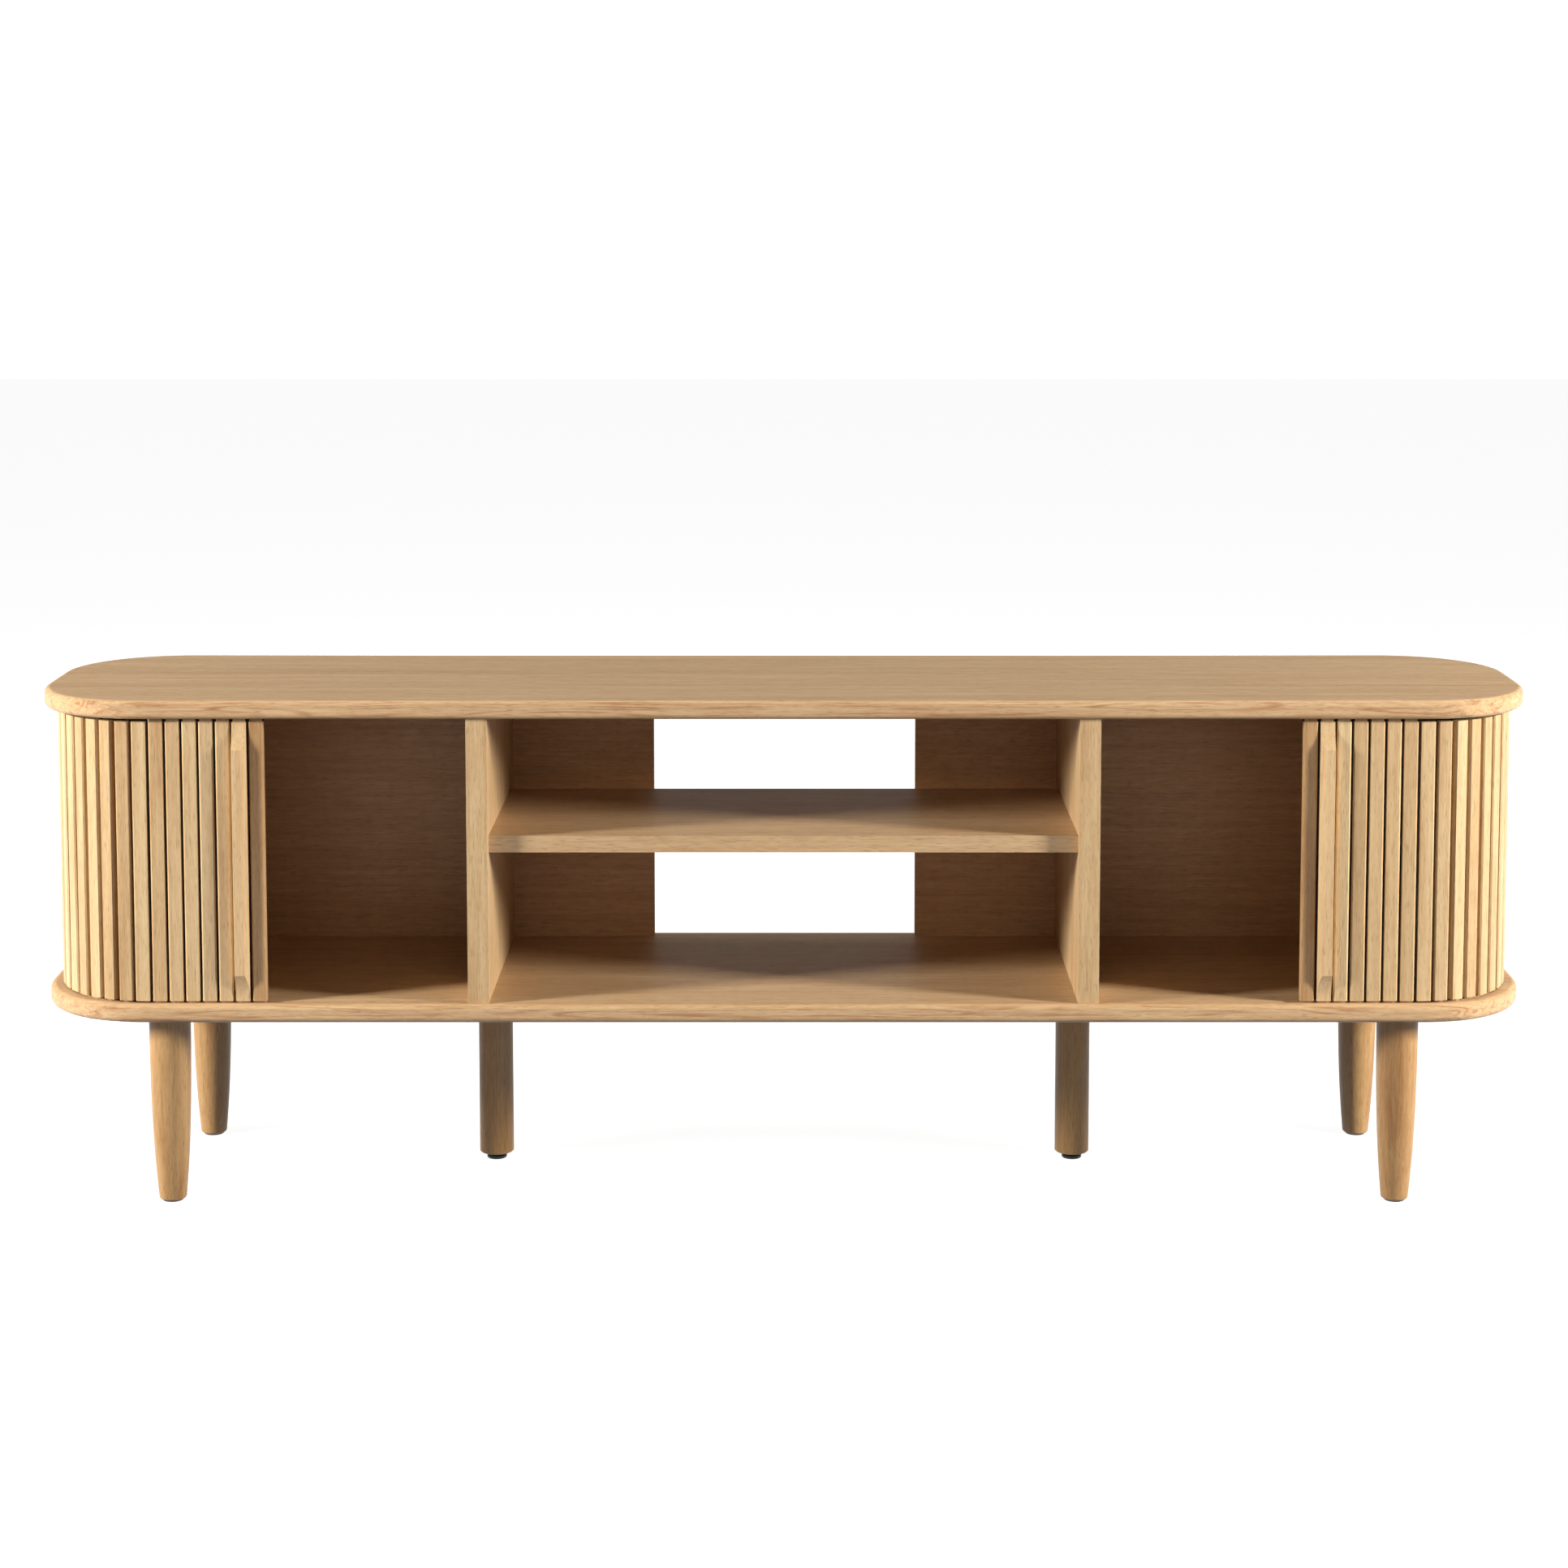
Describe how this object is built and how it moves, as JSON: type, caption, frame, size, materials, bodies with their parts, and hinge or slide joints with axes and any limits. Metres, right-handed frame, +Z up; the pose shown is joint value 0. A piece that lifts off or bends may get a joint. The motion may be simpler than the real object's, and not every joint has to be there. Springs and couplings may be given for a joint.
{
  "type": "media cabinet",
  "caption": "Low oak media cabinet with rounded ends, sliding slatted tambour doors either side of an open shelved bay, round turned legs and levelling centre feet.",
  "frame": {"origin": "on the floor, under the middle of the cabinet", "axes": "+X along the length to the viewer's right, -Y towards the front with the doors, +Z up"},
  "size_m": [1.6, 0.32, 0.55],
  "materials": {
    "panel_oak": "light oak veneer, satin clear lacquer",
    "carcass_oak": "light oak veneer, satin",
    "slat_oak": "solid light oak slats, satin, on dark canvas",
    "leg_oak": "solid turned light oak, satin",
    "dowel_wood": "plain beech dowel",
    "steel": "zinc plated",
    "glide_plastic": "dark glide",
    "foot_plastic": "black levelling foot"
  },
  "bodies": {
    "cabinet": {"top_panel": "panel_oak", "bottom_panel": "panel_oak", "left_divider": "carcass_oak", "right_divider": "carcass_oak", "left_end_panel": "carcass_oak", "right_end_panel": "carcass_oak", "left_back_panel": "carcass_oak", "right_back_panel": "carcass_oak", "center_shelf": "carcass_oak", "front_left_leg": "leg_oak", "front_right_leg": "leg_oak", "back_left_leg": "leg_oak", "back_right_leg": "leg_oak", "left_center_support": "leg_oak", "right_center_support": "leg_oak", "foot_sleeves": "steel", "leg_glides": "glide_plastic", "hanger_bolts": "steel", "board_dowels": "dowel_wood", "shelf_dowels": "dowel_wood", "back_screws": "steel"},
    "left_leveling_foot": {"left_leveling_foot": "foot_plastic"},
    "right_leveling_foot": {"right_leveling_foot": "foot_plastic"},
    "left_door": {"left_lead_slat": "slat_oak", "left_handle_slat": "slat_oak", "left_front_slats": "slat_oak"},
    "left_slat_pair_01": {"left_slat_pair_01": "slat_oak"},
    "left_slat_pair_02": {"left_slat_pair_02": "slat_oak"},
    "left_slat_pair_03": {"left_slat_pair_03": "slat_oak"},
    "left_slat_pair_04": {"left_slat_pair_04": "slat_oak"},
    "left_slat_pair_05": {"left_slat_pair_05": "slat_oak"},
    "left_slat_pair_06": {"left_slat_pair_06": "slat_oak"},
    "left_slat_pair_07": {"left_slat_pair_07": "slat_oak"},
    "left_slat_pair_08": {"left_slat_pair_08": "slat_oak"},
    "left_slat_pair_09": {"left_slat_pair_09": "slat_oak"},
    "left_slat_pair_10": {"left_slat_pair_10": "slat_oak"},
    "left_slat_pair_11": {"left_slat_pair_11": "slat_oak"},
    "left_slat_pair_12": {"left_slat_pair_12": "slat_oak"},
    "left_slat_pair_13": {"left_slat_pair_13": "slat_oak"},
    "right_door": {"right_lead_slat": "slat_oak", "right_handle_slat": "slat_oak", "right_front_slats": "slat_oak"},
    "right_slat_pair_01": {"right_slat_pair_01": "slat_oak"},
    "right_slat_pair_02": {"right_slat_pair_02": "slat_oak"},
    "right_slat_pair_03": {"right_slat_pair_03": "slat_oak"},
    "right_slat_pair_04": {"right_slat_pair_04": "slat_oak"},
    "right_slat_pair_05": {"right_slat_pair_05": "slat_oak"},
    "right_slat_pair_06": {"right_slat_pair_06": "slat_oak"},
    "right_slat_pair_07": {"right_slat_pair_07": "slat_oak"},
    "right_slat_pair_08": {"right_slat_pair_08": "slat_oak"},
    "right_slat_pair_09": {"right_slat_pair_09": "slat_oak"},
    "right_slat_pair_10": {"right_slat_pair_10": "slat_oak"},
    "right_slat_pair_11": {"right_slat_pair_11": "slat_oak"},
    "right_slat_pair_12": {"right_slat_pair_12": "slat_oak"},
    "right_slat_pair_13": {"right_slat_pair_13": "slat_oak"}
  },
  "joints": [
    {"name": "left_door_slide", "type": "slide", "parent": "cabinet", "child": "left_door", "axis": [1, 0, 0], "range_m": [0, 0.2112]},
    {"name": "left_slat_pair_01_turn", "type": "hinge", "parent": "cabinet", "child": "left_slat_pair_01", "pos_m": [-0.5715, 1.44628, 0.377], "axis": [0, 0, 1], "range_deg": [0, 7.62]},
    {"name": "left_slat_pair_02_turn", "type": "hinge", "parent": "cabinet", "child": "left_slat_pair_02", "pos_m": [-0.59113, 0.29868, 0.377], "axis": [0, 0, 1], "range_deg": [0, 27.02]},
    {"name": "left_slat_pair_03_turn", "type": "hinge", "parent": "cabinet", "child": "left_slat_pair_03", "pos_m": [-0.60907, 0.10902, 0.377], "axis": [0, 0, 1], "range_deg": [0, 46.41]},
    {"name": "left_slat_pair_04_turn", "type": "hinge", "parent": "cabinet", "child": "left_slat_pair_04", "pos_m": [-0.62681, 0.03179, 0.377], "axis": [0, 0, 1], "range_deg": [0, 65.8]},
    {"name": "left_slat_pair_05_turn", "type": "hinge", "parent": "cabinet", "child": "left_slat_pair_05", "pos_m": [-0.64449, -0.00838, 0.377], "axis": [0, 0, 1], "range_deg": [0, 85.18]},
    {"name": "left_slat_pair_06_turn", "type": "hinge", "parent": "cabinet", "child": "left_slat_pair_06", "pos_m": [-0.64908, -0.01508, 0.377], "axis": [0, 0, 1], "range_deg": [0, 90.02]},
    {"name": "left_slat_pair_07_turn", "type": "hinge", "parent": "cabinet", "child": "left_slat_pair_07", "pos_m": [-0.63798, -0.00797, 0.377], "axis": [0, 0, 1], "range_deg": [0, 82.42]},
    {"name": "left_slat_pair_08_turn", "type": "hinge", "parent": "cabinet", "child": "left_slat_pair_08", "pos_m": [-0.62066, 0, 0.377], "axis": [0, 0, 1], "range_deg": [0, 73.4]},
    {"name": "left_slat_pair_09_turn", "type": "hinge", "parent": "cabinet", "child": "left_slat_pair_09", "pos_m": [-0.62066, 0, 0.377], "axis": [0, 0, 1], "range_deg": [0, 73.4]},
    {"name": "left_slat_pair_10_turn", "type": "hinge", "parent": "cabinet", "child": "left_slat_pair_10", "pos_m": [-0.62066, 0, 0.377], "axis": [0, 0, 1], "range_deg": [0, 73.4]},
    {"name": "left_slat_pair_11_turn", "type": "hinge", "parent": "cabinet", "child": "left_slat_pair_11", "pos_m": [-0.62068, 0.00001, 0.377], "axis": [0, 0, 1], "range_deg": [0, 73.41]},
    {"name": "left_slat_pair_12_turn", "type": "hinge", "parent": "cabinet", "child": "left_slat_pair_12", "pos_m": [-0.64444, 0.01177, 0.377], "axis": [0, 0, 1], "range_deg": [0, 86.57]},
    {"name": "left_slat_pair_13_turn", "type": "hinge", "parent": "cabinet", "child": "left_slat_pair_13", "pos_m": [-0.64908, 0.01508, 0.377], "axis": [0, 0, 1], "range_deg": [0, 90.02]},
    {"name": "right_door_slide", "type": "slide", "parent": "cabinet", "child": "right_door", "axis": [-1, 0, 0], "range_m": [0, 0.2112]},
    {"name": "right_slat_pair_01_turn", "type": "hinge", "parent": "cabinet", "child": "right_slat_pair_01", "pos_m": [0.5715, 1.44628, 0.377], "axis": [0, 0, -1], "range_deg": [0, 7.62]},
    {"name": "right_slat_pair_02_turn", "type": "hinge", "parent": "cabinet", "child": "right_slat_pair_02", "pos_m": [0.59113, 0.29868, 0.377], "axis": [0, 0, -1], "range_deg": [0, 27.02]},
    {"name": "right_slat_pair_03_turn", "type": "hinge", "parent": "cabinet", "child": "right_slat_pair_03", "pos_m": [0.60907, 0.10902, 0.377], "axis": [0, 0, -1], "range_deg": [0, 46.41]},
    {"name": "right_slat_pair_04_turn", "type": "hinge", "parent": "cabinet", "child": "right_slat_pair_04", "pos_m": [0.62681, 0.03179, 0.377], "axis": [0, 0, -1], "range_deg": [0, 65.8]},
    {"name": "right_slat_pair_05_turn", "type": "hinge", "parent": "cabinet", "child": "right_slat_pair_05", "pos_m": [0.64449, -0.00838, 0.377], "axis": [0, 0, -1], "range_deg": [0, 85.18]},
    {"name": "right_slat_pair_06_turn", "type": "hinge", "parent": "cabinet", "child": "right_slat_pair_06", "pos_m": [0.64908, -0.01508, 0.377], "axis": [0, 0, -1], "range_deg": [0, 90.02]},
    {"name": "right_slat_pair_07_turn", "type": "hinge", "parent": "cabinet", "child": "right_slat_pair_07", "pos_m": [0.63798, -0.00797, 0.377], "axis": [0, 0, -1], "range_deg": [0, 82.42]},
    {"name": "right_slat_pair_08_turn", "type": "hinge", "parent": "cabinet", "child": "right_slat_pair_08", "pos_m": [0.62066, 0, 0.377], "axis": [0, 0, -1], "range_deg": [0, 73.4]},
    {"name": "right_slat_pair_09_turn", "type": "hinge", "parent": "cabinet", "child": "right_slat_pair_09", "pos_m": [0.62066, 0, 0.377], "axis": [0, 0, -1], "range_deg": [0, 73.4]},
    {"name": "right_slat_pair_10_turn", "type": "hinge", "parent": "cabinet", "child": "right_slat_pair_10", "pos_m": [0.62066, 0, 0.377], "axis": [0, 0, -1], "range_deg": [0, 73.4]},
    {"name": "right_slat_pair_11_turn", "type": "hinge", "parent": "cabinet", "child": "right_slat_pair_11", "pos_m": [0.62068, 0.00001, 0.377], "axis": [0, 0, -1], "range_deg": [0, 73.41]},
    {"name": "right_slat_pair_12_turn", "type": "hinge", "parent": "cabinet", "child": "right_slat_pair_12", "pos_m": [0.64444, 0.01177, 0.377], "axis": [0, 0, -1], "range_deg": [0, 86.57]},
    {"name": "right_slat_pair_13_turn", "type": "hinge", "parent": "cabinet", "child": "right_slat_pair_13", "pos_m": [0.64908, 0.01508, 0.377], "axis": [0, 0, -1], "range_deg": [0, 90.02]},
    {"name": "left_foot_height", "type": "slide", "parent": "cabinet", "child": "left_leveling_foot", "axis": [0, 0, 1], "range_m": [0, 0.003]},
    {"name": "right_foot_height", "type": "slide", "parent": "cabinet", "child": "right_leveling_foot", "axis": [0, 0, 1], "range_m": [0, 0.003]}
  ],
  "couplings": [
    {"joint": "left_slat_pair_01_turn", "follows": "left_door_slide", "rad_per_m": 0.62828},
    {"joint": "left_slat_pair_02_turn", "follows": "left_door_slide", "rad_per_m": 2.2308},
    {"joint": "left_slat_pair_03_turn", "follows": "left_door_slide", "rad_per_m": 3.8334},
    {"joint": "left_slat_pair_04_turn", "follows": "left_door_slide", "rad_per_m": 5.436},
    {"joint": "left_slat_pair_05_turn", "follows": "left_door_slide", "rad_per_m": 7.0377},
    {"joint": "left_slat_pair_06_turn", "follows": "left_door_slide", "rad_per_m": 7.4375},
    {"joint": "left_slat_pair_07_turn", "follows": "left_door_slide", "rad_per_m": 6.8092},
    {"joint": "left_slat_pair_08_turn", "follows": "left_door_slide", "rad_per_m": 6.0642},
    {"joint": "left_slat_pair_09_turn", "follows": "left_door_slide", "rad_per_m": 6.0642},
    {"joint": "left_slat_pair_10_turn", "follows": "left_door_slide", "rad_per_m": 6.0642},
    {"joint": "left_slat_pair_11_turn", "follows": "left_door_slide", "rad_per_m": 6.0651},
    {"joint": "left_slat_pair_12_turn", "follows": "left_door_slide", "rad_per_m": 7.1524},
    {"joint": "left_slat_pair_13_turn", "follows": "left_door_slide", "rad_per_m": 7.4375},
    {"joint": "right_slat_pair_01_turn", "follows": "right_door_slide", "rad_per_m": 0.62828},
    {"joint": "right_slat_pair_02_turn", "follows": "right_door_slide", "rad_per_m": 2.2308},
    {"joint": "right_slat_pair_03_turn", "follows": "right_door_slide", "rad_per_m": 3.8334},
    {"joint": "right_slat_pair_04_turn", "follows": "right_door_slide", "rad_per_m": 5.436},
    {"joint": "right_slat_pair_05_turn", "follows": "right_door_slide", "rad_per_m": 7.0377},
    {"joint": "right_slat_pair_06_turn", "follows": "right_door_slide", "rad_per_m": 7.4375},
    {"joint": "right_slat_pair_07_turn", "follows": "right_door_slide", "rad_per_m": 6.8092},
    {"joint": "right_slat_pair_08_turn", "follows": "right_door_slide", "rad_per_m": 6.0642},
    {"joint": "right_slat_pair_09_turn", "follows": "right_door_slide", "rad_per_m": 6.0642},
    {"joint": "right_slat_pair_10_turn", "follows": "right_door_slide", "rad_per_m": 6.0642},
    {"joint": "right_slat_pair_11_turn", "follows": "right_door_slide", "rad_per_m": 6.0651},
    {"joint": "right_slat_pair_12_turn", "follows": "right_door_slide", "rad_per_m": 7.1524},
    {"joint": "right_slat_pair_13_turn", "follows": "right_door_slide", "rad_per_m": 7.4375}
  ]
}
